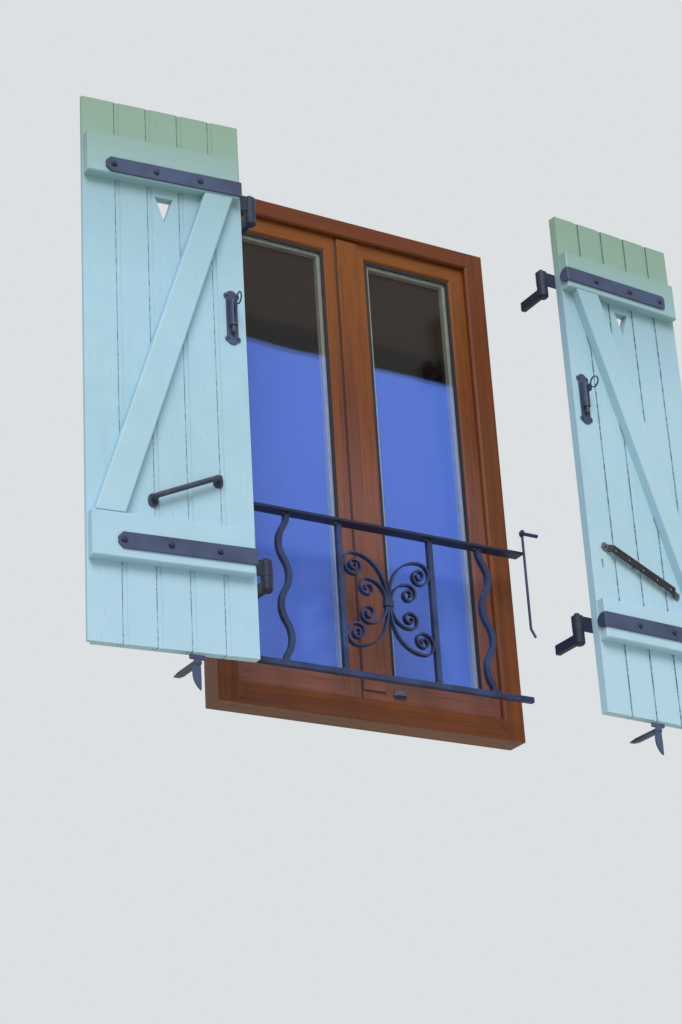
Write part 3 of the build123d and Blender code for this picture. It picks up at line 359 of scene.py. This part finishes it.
flat_iron, tree, shader, place, tone = ironwork("rolled_rail_steel", *IRONS["dark_painted_rail_steel"])
height = add(tree, "ShaderNodeSeparateXYZ", {0: place}).outputs["Z"]
tone = lay_over(tree, tone, HANDRAIL_TONE, height, *HANDRAIL_HEIGHT, 0.75)
connect(tree, shader, {"Base Color": tone})
print("special ironwork:", stay_iron.name, latch_iron.name, flat_iron.name)

# %% [markdown]
# ## Stained wood of the window
# Sashes and frame are hardwood under a satin red-brown stain, which gives the eye a warm
# sheen with darker streaks. Their corners are mitred, so the grain turns by 90 degrees
# along a 45 degree line at each corner. A sash is one exact piece, so its rails can't
# have a material each. But a point belongs to an upright if it is nearer to the ring's
# left or right side than to its top or bottom: the function takes each ring's box,
# builds the grain twice, standing and lying, and picks by that test. Real pores are some
# tenths of a millimetre wide, and are drawn ten times as wide so that they show, with a
# pale painted sheen on some of them. Higher up the frame is darker, a painted shade, and
# the leaves are a warmer orange. Low down the leaves are pinker, a painted reflection of
# the sky.

# %% Red-brown stain with grain that turns at the mitres
WOOD = "#693921"
WOOD_WARM = "#7C431D"
WOOD_DARK = "#4A2618"
# The sheen tone is a painted sheen on the pores. Higher up, the frame's tone is a painted shade and the
# leaves' a warmer orange. The low tone is a painted reflection of the sky.
WOOD_PAINTED_SHEEN = "#87584A"
WOOD_HIGH = {"frame": "#6A300A", "leaf": "#874C12"}
WOOD_LOW_SKY_REFLECTION = "#8E6260"
HIGH_ON_THE_WINDOW = (0.8, 1.35)
LOW_ON_THE_LEAF = (0.95, 0.55)
STANDING_GRAIN = (6, 6, 220)
LYING_GRAIN = (220, 6, 6)
BAND_TIMES = 5
PORE_ACROSS = 2.2
PORE_ALONG = 5
WOOD_ROUGHNESS = 0.42
WOOD_SPECULAR = 0.28


def stained_wood(name, low, high, part="leaf"):
    material, tree, shader, place = new_material(name)
    axes = add(tree, "ShaderNodeSeparateXYZ", {0: place}).outputs
    nearest = []
    for axis in (0, 2):
        from_low = add(tree, "ShaderNodeMath", {0: axes[axis], 1: low[axis]}, operation="SUBTRACT")
        from_high = add(tree, "ShaderNodeMath", {0: high[axis], 1: axes[axis]}, operation="SUBTRACT")
        nearest.append(add(tree, "ShaderNodeMath", {0: from_low, 1: from_high}, operation="MINIMUM"))
    lying = add(tree, "ShaderNodeMath", {0: nearest[0], 1: nearest[1]}, operation="GREATER_THAN")
    tones = []
    reliefs = []
    for cells in (STANDING_GRAIN, LYING_GRAIN):
        pores = tuple(c / (PORE_ACROSS if c < 10 else PORE_ALONG) for c in cells)
        grain = uneven(tree, place, cells, 5, 4.4, 0.6)
        fine = uneven(tree, place, pores, 3, 7.3)
        bands = uneven(tree, place, tuple(c * BAND_TIMES for c in cells), 2, 2.9)
        tone = lay_over(tree, WOOD, WOOD_WARM, bands, 0.35, 0.65)
        # Higher up: painted shade on the frame, a warmer orange on the leaves.
        tone = lay_over(tree, tone, WOOD_HIGH[part], axes[2], *HIGH_ON_THE_WINDOW, 0.75)
        if part == "leaf":
            # Low on the leaves: a painted reflection of the sky.
            tone = lay_over(tree, tone, WOOD_LOW_SKY_REFLECTION, axes[2], *LOW_ON_THE_LEAF, 0.45)
        tone = lay_over(tree, tone, WOOD_DARK, grain, 0.5, 0.7, 0.6)
        # Painted sheen on the pores.
        tones.append(lay_over(tree, tone, WOOD_PAINTED_SHEEN, fine, 0.55, 0.8, 0.25))
        reliefs.append(add(tree, "ShaderNodeMath", {0: grain, 1: fine}, operation="ADD"))
    tone = add(tree, "ShaderNodeMix", {0: lying, 6: tones[0], 7: tones[1]}, data_type="RGBA")
    relief = add(tree, "ShaderNodeMix", {0: lying, 2: reliefs[0], 3: reliefs[1]}, data_type="FLOAT")
    raised = add(tree, "ShaderNodeBump", {"Height": relief, "Distance": 0.35 * MM, "Strength": 0.5})
    connect(tree, shader, {"Base Color": tone, "Normal": raised,
                           "Roughness": WOOD_ROUGHNESS, "Specular IOR Level": WOOD_SPECULAR})
    return material

# %% Stain the frame, the leaves and the strip
frame_low, frame_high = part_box("frame_head")[0].copy(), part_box("frame_head")[1].copy()
frame_low.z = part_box("frame_sill")[0].z
wood_frame = stained_wood("stained_wood_frame", frame_low, frame_high, "frame")
wood_leaf = {side: stained_wood("stained_wood_" + side + "_leaf", *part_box(side + "_sash"))
             for side in ("left", "right")}

# The strip is one upright piece: with its ends put far off, its grain never turns.
FAR_END = Vector((0, 0, 1))
strip_low, strip_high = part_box("cover_strip")
wood_strip = stained_wood("stained_wood_cover_strip", strip_low - FAR_END, strip_high + FAR_END)
print("frame ring from", [round(v, 3) for v in frame_low], "to", [round(v, 3) for v in frame_high])

# %% [markdown]
# ## Small finishes
# The seals are extruded black rubber, dull and soft to the eye. The glazing beads are
# wood with a pale smooth paint, and the spacer bars inside the panes have a pale matt
# coat. The frame hinges are steel with a brown coat, and the drain cap is moulded grey
# plastic. Only the lever inside, of satin anodised aluminium, is a metal to the shader.
# One flat colour each would do from afar, but no real surface is one flat colour, so
# even a plain finish gets a little unevenness in tone and gloss.

# %% Rubber, painted beads, coated metal, aluminium and plastic
def plain_finish(name, first, second, size, rough, metallic=0.0):
    material, tree, shader, place = new_material(name)
    field = uneven(tree, place, size, 4, 3.3)
    gloss = add(tree, "ShaderNodeMapRange", {
        "Value": field, "To Min": rough - 0.06, "To Max": rough + 0.1})
    raised = add(tree, "ShaderNodeBump", {"Height": field, "Distance": 0.1 * MM, "Strength": 0.5})
    connect(tree, shader, {"Base Color": lay_over(tree, first, second, field, 0.35, 0.65),
                           "Roughness": gloss, "Metallic": metallic, "Normal": raised})
    return material


rubber = plain_finish("extruded_black_rubber", "#14151A", "#20222A", 9, 0.6)
bead_paint = plain_finish("pale_painted_bead_wood", "#A9B3A0", "#B9C2AE", 60, 0.4)
spacer_metal = plain_finish("pale_coated_spacer_metal", "#D3DAC8", "#DFE5D6", 30, 0.35)
hinge_coat = plain_finish("brown_coated_hinge_steel", "#4A3026", "#5B3B2E", 14, 0.4)
lever_metal = plain_finish("satin_anodised_aluminium", "#B9BBBD", "#CFD1D2", 12, 0.35, 1.0)
cap_plastic = plain_finish("moulded_grey_cap_plastic", "#4C5470", "#5A627C", 8, 0.5)
small = (rubber, bead_paint, spacer_metal, hinge_coat, lever_metal, cap_plastic)
print("small finishes:", [material.name for material in small])

# %% [markdown]
# ## Sealed glass
# The panes are float glass, which gives the eye a hard clear gloss. From outside they
# look deep blue below, the sky reflected, and nearly black near the head, the eave above
# reflected. A mirror coat would show only the empty studio, so this is a painted
# reflection: colour in the glass itself, which changes with height over about a
# centimetre. The outer pane is thin in this painted colour and lets the pale spacer show
# through along its edges, and the inner one is dense.

# %% Glass with a painted reflection, thin and dense
PANE_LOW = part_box("left_glass")[0].z
PANE_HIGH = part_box("left_glass")[1].z
CHANGE_SHARE = 0.747
CHANGE_AT = PANE_LOW + CHANGE_SHARE * (PANE_HIGH - PANE_LOW)
CHANGE_OVER = 12 * MM
CHANGE_DRIFT = 0.05
DRIFT_AREAS = 260
DARK_BAND = (60 * MM, 110 * MM)
# Painted reflection: sky blue below, and the eave's near-black and dark brown near the head.
SKY_REFLECTION_BLUE = "#668BEB"
EAVE_REFLECTION_DARK = "#120A08"
EAVE_REFLECTION_TOP = "#33271F"
GLASS_ROUGHNESS = 0.02
GLASS_IOR = 1.5
OUTER_REFLECTION_COVER = 0.28
INNER_REFLECTION_COVER = 1.0


def glass_with_painted_reflection(name, cover):
    material, tree, shader, place = new_material(name)
    height = add(tree, "ShaderNodeSeparateXYZ", {0: place}).outputs["Z"]
    drift = uneven(tree, place, DRIFT_AREAS, 2, 5.0)
    climb = add(tree, "ShaderNodeMath", {0: drift, 1: CHANGE_DRIFT, 2: height}, operation="MULTIPLY_ADD")
    # Painted reflection of the eave near the head, and of the sky below it.
    dark = lay_over(tree, EAVE_REFLECTION_DARK, EAVE_REFLECTION_TOP, climb,
                    CHANGE_AT + DARK_BAND[0], CHANGE_AT + DARK_BAND[1])
    painted_reflection = lay_over(tree, SKY_REFLECTION_BLUE, dark, climb, CHANGE_AT, CHANGE_AT + CHANGE_OVER)
    connect(tree, shader, {"Base Color": painted_reflection, "Roughness": GLASS_ROUGHNESS, "IOR": GLASS_IOR,
                           "Alpha": cover})
    return material


outer_glass = glass_with_painted_reflection("outer_float_glass_painted_reflection", OUTER_REFLECTION_COVER)
inner_glass = glass_with_painted_reflection("inner_glass_painted_reflection", INNER_REFLECTION_COVER)
print("glass from", round(PANE_LOW, 3), "to", round(PANE_HIGH, 3))

# %% [markdown]
# ## Two panes and a spacer in each leaf
# The exact parts have one solid block for each sealed unit. The real one is two panes
# with a metal bar all round between them, and the bar's inner faces are the pale band
# that shows beside the black seal. A pane is a thin box. The bar is a box with its front
# and back faces inset and the two inner faces bridged, which opens a clean hole through
# it and keeps four mitre edges, as a boolean would not.

# %% Helpers: a box between two corners, and faces picked by a test
SQUARE_ON = 0.9


def block(name, low, high):
    bpy.ops.object.select_all(action="DESELECT")
    bpy.ops.mesh.primitive_cube_add(size=1, location=(low + high) / 2, scale=high - low)
    piece = bpy.context.object
    piece.name = name
    bpy.ops.object.transform_apply(location=True, rotation=True, scale=True)
    return piece


def select_faces(piece, test):
    """Edit mode, with the faces selected that pass the test."""
    bpy.ops.object.mode_set(mode="EDIT")
    bpy.ops.mesh.select_mode(type="FACE")
    bpy.ops.mesh.select_all(action="DESELECT")
    bpy.ops.object.mode_set(mode="OBJECT")
    for face in piece.data.polygons:
        face.select = test(face)
    bpy.ops.object.mode_set(mode="EDIT")


def ease_edges(piece, width):
    """A bevel on every sharp edge, applied."""
    bevel = piece.modifiers.new("eased_edges", "BEVEL")
    bevel.width = width
    bevel.segments = 2
    bpy.ops.object.modifier_apply(modifier=bevel.name)

# %% Model the sealed units
PANE_THICKNESS = 4 * MM
SPACER_PLAY = 1 * MM
SPACER_WIDTH = 25 * MM
PANE_EASE = 0.5 * MM

for side in ("left", "right"):
    low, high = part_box(side + "_glass")
    inside = Vector((SPACER_PLAY, PANE_THICKNESS, SPACER_PLAY))
    outer = block(side + "_outer_pane", low, Vector((high.x, low.y + PANE_THICKNESS, high.z)))
    ease_edges(outer, PANE_EASE)
    outer.data.materials.append(outer_glass)
    inner = block(side + "_inner_pane", Vector((low.x, high.y - PANE_THICKNESS, low.z)), high)
    ease_edges(inner, PANE_EASE)
    inner.data.materials.append(inner_glass)
    spacer = block(side + "_spacer_bar", low + inside, high - inside)
    select_faces(spacer, lambda face: abs(face.normal.y) > SQUARE_ON)
    bpy.ops.mesh.inset(thickness=SPACER_WIDTH, use_individual=True)
    bpy.ops.mesh.bridge_edge_loops()
    bpy.ops.object.mode_set(mode="OBJECT")
    spacer.data.materials.append(spacer_metal)
    for piece in (outer, inner, spacer):
        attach(piece, side + "_leaf")
        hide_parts(side + "_glass")
    print(side, "unit:", [len(p.data.polygons) for p in (outer, inner, spacer)], "faces")

# %% [markdown]
# ## Seal between the leaves
# The two leaves meet with a gap of a few millimetres, so that their corners can swing
# past each other. A rubber lip in a groove of the right leaf closes it, just behind the
# front faces, where the swing hardly touches it. It could be a curve with a thickness,
# but its section is wedge-shaped: a long thin box is drawn in at the edge that leans on
# the left leaf, which makes the lip, and its edges are eased.

# %% Model the meeting seal
LIP_FRONT = 1.5 * MM
LIP_THICKNESS = 3 * MM
LIP_ROOT = 0.5 * MM
LIP_PLAY = 0.03 * MM
LIP_END = 2 * MM
LIP_DRAWN_IN = 0.4
LIP_EASE = 0.3 * MM

low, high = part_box("right_sash")
lip_y = low.y + LIP_FRONT
lip_low = Vector((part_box("left_sash")[1].x + LIP_PLAY, lip_y, low.z + LIP_END))
lip_high = Vector((low.x + LIP_ROOT, lip_y + LIP_THICKNESS, high.z - LIP_END))
seal = block("meeting_seal", lip_low, lip_high)
select_faces(seal, lambda face: face.normal.x < -SQUARE_ON)
bpy.ops.transform.resize(value=(1, LIP_DRAWN_IN, 1), center_override=(lip_low + lip_high) / 2)
bpy.ops.object.mode_set(mode="OBJECT")
ease_edges(seal, LIP_EASE)
seal.data.materials.append(rubber)
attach(seal, "right_leaf")
print("meeting seal:", len(seal.data.polygons), "faces,", round(lip_high.x - lip_low.x, 4), "m wide")

# %% [markdown]
# ## Weld beads on the guard rail
# The uprights are welded between the rails, and the scrolls to the straight uprights.
# Each weld left a small uneven lump on both sides of the bar. A boolean could fuse the
# bars, but a weld is metal added on top. One flattened sphere is modelled, copied to
# each weld's place, which is measured on the exact bars, and its points are pushed about
# at random, differently on each copy. All of them are one piece in the end.

# %% Model the weld beads
RAIL_Y = -0.119
RAIL_UNDER = 0.488
FOOT_TOP = 0.092
SCROLL_MIDDLE_ABOUT = 0.3
BAR_ZONES = ((0.10, 0.2), (0.2, 0.4))
SAME_HEIGHT = 0.5 * MM
BEAD_SIZE = (3.4 * MM, 7.6 * MM, 3.0 * MM)
BEAD_UNEVENNESS = 0.5 * MM

bars = nodes["guard_bars"].data.vertices
scrolls = nodes["guard_scrolls"].data.vertices
widest = max((v.co for v in scrolls if v.co.z > SCROLL_MIDDLE_ABOUT), key=lambda point: point.x)
spots = []
for height in (RAIL_UNDER, FOOT_TOP):
    ends = [v.co.x for v in bars if abs(v.co.z - height) < SAME_HEIGHT]
    for hand in (-1, 1):
        for low_x, high_x in BAR_ZONES:
            group = [x for x in ends if low_x < hand * x < high_x]
            spots += [(min(group), height), (max(group), height)]
scroll_middle = (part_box("guard_scrolls")[0].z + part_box("guard_scrolls")[1].z) / 2
contact = widest.z - scroll_middle
spots += [(hand * widest.x, scroll_middle + rise * contact) for hand in (-1, 1) for rise in (-1, 1)]

bpy.ops.object.select_all(action="DESELECT")
bpy.ops.mesh.primitive_uv_sphere_add(segments=14, ring_count=8, radius=1, scale=BEAD_SIZE)
bpy.ops.object.transform_apply(location=True, rotation=True, scale=True)
beads = [bpy.context.object]
while len(beads) < len(spots):
    bpy.ops.object.duplicate()
    beads.append(bpy.context.object)
for number, (bead, (x, z)) in enumerate(zip(beads, spots)):
    bpy.ops.object.select_all(action="DESELECT")
    bead.select_set(True)
    bpy.context.view_layer.objects.active = bead
    bpy.ops.object.mode_set(mode="EDIT")
    bpy.ops.mesh.select_all(action="SELECT")
    bpy.ops.transform.translate(value=(x, RAIL_Y, z))
    bpy.ops.transform.vertex_random(offset=BEAD_UNEVENNESS, seed=number)
    bpy.ops.object.mode_set(mode="OBJECT")
bpy.ops.object.select_all(action="DESELECT")
for bead in beads:
    bead.select_set(True)
bpy.context.view_layer.objects.active = beads[0]
bpy.ops.object.join()
weld_beads = bpy.context.object
weld_beads.name = "rail_weld_beads"
bpy.ops.object.shade_smooth()
weld_beads.data.materials.append(weld_iron)
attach(weld_beads, "wall_frame")
print("weld beads:", len(beads))

# %% [markdown]
# ## Drain cap
# Rain that gets behind the seal leaves through a hole in the leaf's bottom rail, under a
# small grey hood. Half a sphere would be too round: the real one has a flat front with a
# round rim. So a short cylinder stands out from the rail, its lower part is cut off with
# a bisect, and the front rim is bevelled. The cut face is then inset and pushed up,
# which makes the mouth that the water leaves by.

# %% Model the drain cap
CAP_PLACE = Vector((0.080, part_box("cover_strip")[1].y, 0.081))
CAP_RADIUS = 18 * MM
CAP_REACH = 10 * MM
CAP_CUT = 1 * MM
CAP_ROUND = 3 * MM
MOUTH_RIM = 1.6 * MM
MOUTH_DEPTH = 5 * MM
SMALL_FACE = 1e-4
SMOOTH_UP_TO = math.radians(40)

bpy.ops.object.select_all(action="DESELECT")
bpy.ops.mesh.primitive_cylinder_add(vertices=48, radius=CAP_RADIUS, depth=CAP_REACH,
                                    location=CAP_PLACE - Vector((0, CAP_REACH / 2, 0)),
                                    rotation=(math.radians(90), 0, 0))
cap = bpy.context.object
cap.name = "drain_cap"
bpy.ops.object.transform_apply(location=True, rotation=True, scale=True)
bpy.ops.object.mode_set(mode="EDIT")
bpy.ops.mesh.select_all(action="SELECT")
bpy.ops.mesh.bisect(plane_co=CAP_PLACE - Vector((0, 0, CAP_CUT)), plane_no=(0, 0, 1),
                    use_fill=True, clear_inner=True)
bpy.ops.object.mode_set(mode="OBJECT")
select_faces(cap, lambda face: face.normal.y < -SQUARE_ON)
bpy.ops.mesh.bevel(offset=CAP_ROUND, segments=4, affect="EDGES")
bpy.ops.object.mode_set(mode="OBJECT")
select_faces(cap, lambda face: face.normal.z < -SQUARE_ON and face.area > SMALL_FACE)
bpy.ops.mesh.inset(thickness=MOUTH_RIM)
bpy.ops.mesh.extrude_region_move(TRANSFORM_OT_translate={"value": (0, 0, MOUTH_DEPTH)})
bpy.ops.object.mode_set(mode="OBJECT")
bpy.ops.object.shade_smooth_by_angle(angle=SMOOTH_UP_TO)
cap.data.materials.append(cap_plastic)
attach(cap, "right_leaf")
print("drain cap faces:", len(cap.data.polygons))

# %% [markdown]
# ## Give each exact part its finish
# The parts could be listed one by one with their finishes, but there are sixty. They are
# told apart by a word in their names instead, and the first rule that fits wins.

# %% Hand out the finishes
def finish_of(name):
    side = name.split("_")[0]
    rules = (
        ("stay_bar", stay_iron), ("stay_hook", rail_iron),
        ("pull_handle", handle_iron), ("latch_bolt", latch_iron),
        ("fixings", bolt_iron), ("pintle", pintle_iron), ("eye_strap", pintle_iron),
        ("guard_rails", flat_iron), ("guard", rail_iron),
        ("board", paint_boards.get(side)), ("ledger", paint_ledgers.get(side)),
        ("brace", paint_brace.get(side)), ("frame_hinges", hinge_coat), ("frame_", wood_frame),
        ("sash", wood_leaf.get(side)), ("cover_strip", wood_strip), ("gasket", rubber),
        ("glazing_beads", bead_paint), ("window_handle", lever_metal), ("glass", inner_glass),
    )
    for part, material in rules:
        if part in name:
            return material
    return strap_iron


for name, node in nodes.items():
    node.data.materials.clear()
    node.data.materials.append(finish_of(name))
print("finished", len(nodes), "exact parts")

# %% [markdown]
# Sharp corners give a computer model away, because every real edge catches a thin line
# of light. The exact meshes must not be changed, but a modifier only changes what is
# shown: one welds the loose triangles together, the next eases each sharp edge. Only the
# large pieces of woodwork get them: on thin iron the line would be too fine to see.

# %% Ease the edges of the woodwork
EASED = ("frame_head", "frame_sill", "frame_jamb_left", "frame_jamb_right",
         "left_sash", "right_sash", "left_brace", "right_brace")
WELD_REACH = 0.02 * MM
EDGE_EASE = 1.2 * MM
SHARP_FROM = math.radians(35)

for name in EASED:
    weld = nodes[name].modifiers.new("weld", "WELD")
    weld.merge_threshold = WELD_REACH
    ease = nodes[name].modifiers.new("eased_edges", "BEVEL")
    ease.width = EDGE_EASE
    ease.segments = 2
    ease.limit_method = "ANGLE"
    ease.angle_limit = SHARP_FROM
    ease.use_clamp_overlap = True
print("eased:", len(EASED))

# %% [markdown]
# ## Floor, sky and light
# A plain pale floor lies far below, and soft daylight comes from high on the left. An
# area lamp would be brighter near than far and would light the two shutters unevenly; a
# sun doesn't. The light is kept at a level where a colour renders about as it is
# written: half from the sky all round, half from one broad sun. The background that the
# camera, the gloss and the glass see is set apart from the light that falls on the work.
# The floor looks pale, but it throws back a little less light than it seems to, so that
# the undersides of ledgers and boards stay a shade darker than their fronts.

# %% Lay the floor and hang the light
FLOOR_HEIGHT = -2.4
FLOOR_RADIUS = 300
SKY_STRENGTH = 0.54
SUN_STRENGTH = 1.86
SUN_SOFTNESS = math.radians(35)
SUN_FROM = Vector((-0.35, -0.75, 0.65))
BACKGROUND = "#DCE0E2"
FLOOR_SEEN = "#F1F0EC"
FLOOR_BOUNCE = "#CFD0C2"
FLOOR_ROUGHNESS = 0.9
SKY_COLOUR = "#F4F8FF"

bpy.ops.object.select_all(action="DESELECT")
bpy.ops.mesh.primitive_circle_add(vertices=64, radius=FLOOR_RADIUS, fill_type="NGON",
                                  location=(0, 0, FLOOR_HEIGHT))
floor = bpy.context.object
floor.name = "studio_floor"
floor_material, tree, shader, place = new_material("pale_floor")
looked_at = add(tree, "ShaderNodeLightPath").outputs["Is Camera Ray"]
floor_tone = add(tree, "ShaderNodeMix", {0: looked_at, 6: FLOOR_BOUNCE, 7: FLOOR_SEEN}, data_type="RGBA")
connect(tree, shader, {"Base Color": floor_tone, "Roughness": FLOOR_ROUGHNESS})
floor.data.materials.append(floor_material)

sun_data = bpy.data.lights.new("broad_sun", "SUN")
sun_data.energy = SUN_STRENGTH
sun_data.angle = SUN_SOFTNESS
sun = bpy.data.objects.new("broad_sun", sun_data)
bpy.context.scene.collection.objects.link(sun)
sun.rotation_mode = "QUATERNION"
sun.rotation_quaternion = SUN_FROM.to_track_quat("Z", "Y")

world = bpy.data.worlds.new("studio_sky")
world.use_nodes = True
bpy.context.scene.world = world
sky = world.node_tree
for node in list(sky.nodes):
    sky.nodes.remove(node)
rays = add(sky, "ShaderNodeLightPath").outputs
seen = rays["Is Camera Ray"]
for ray in ("Is Glossy Ray", "Is Transmission Ray"):
    seen = add(sky, "ShaderNodeMath", {0: seen, 1: rays[ray]}, operation="MAXIMUM")
light = add(sky, "ShaderNodeBackground", {"Color": SKY_COLOUR, "Strength": SKY_STRENGTH})
shown = add(sky, "ShaderNodeBackground", {"Color": BACKGROUND, "Strength": 1.0})
both = add(sky, "ShaderNodeMixShader", {0: seen, 1: light, 2: shown})
add(sky, "ShaderNodeOutputWorld", {0: both})
bpy.context.scene.view_settings.view_transform = "Standard"
print("light: sun", SUN_STRENGTH, "and sky", SKY_STRENGTH)
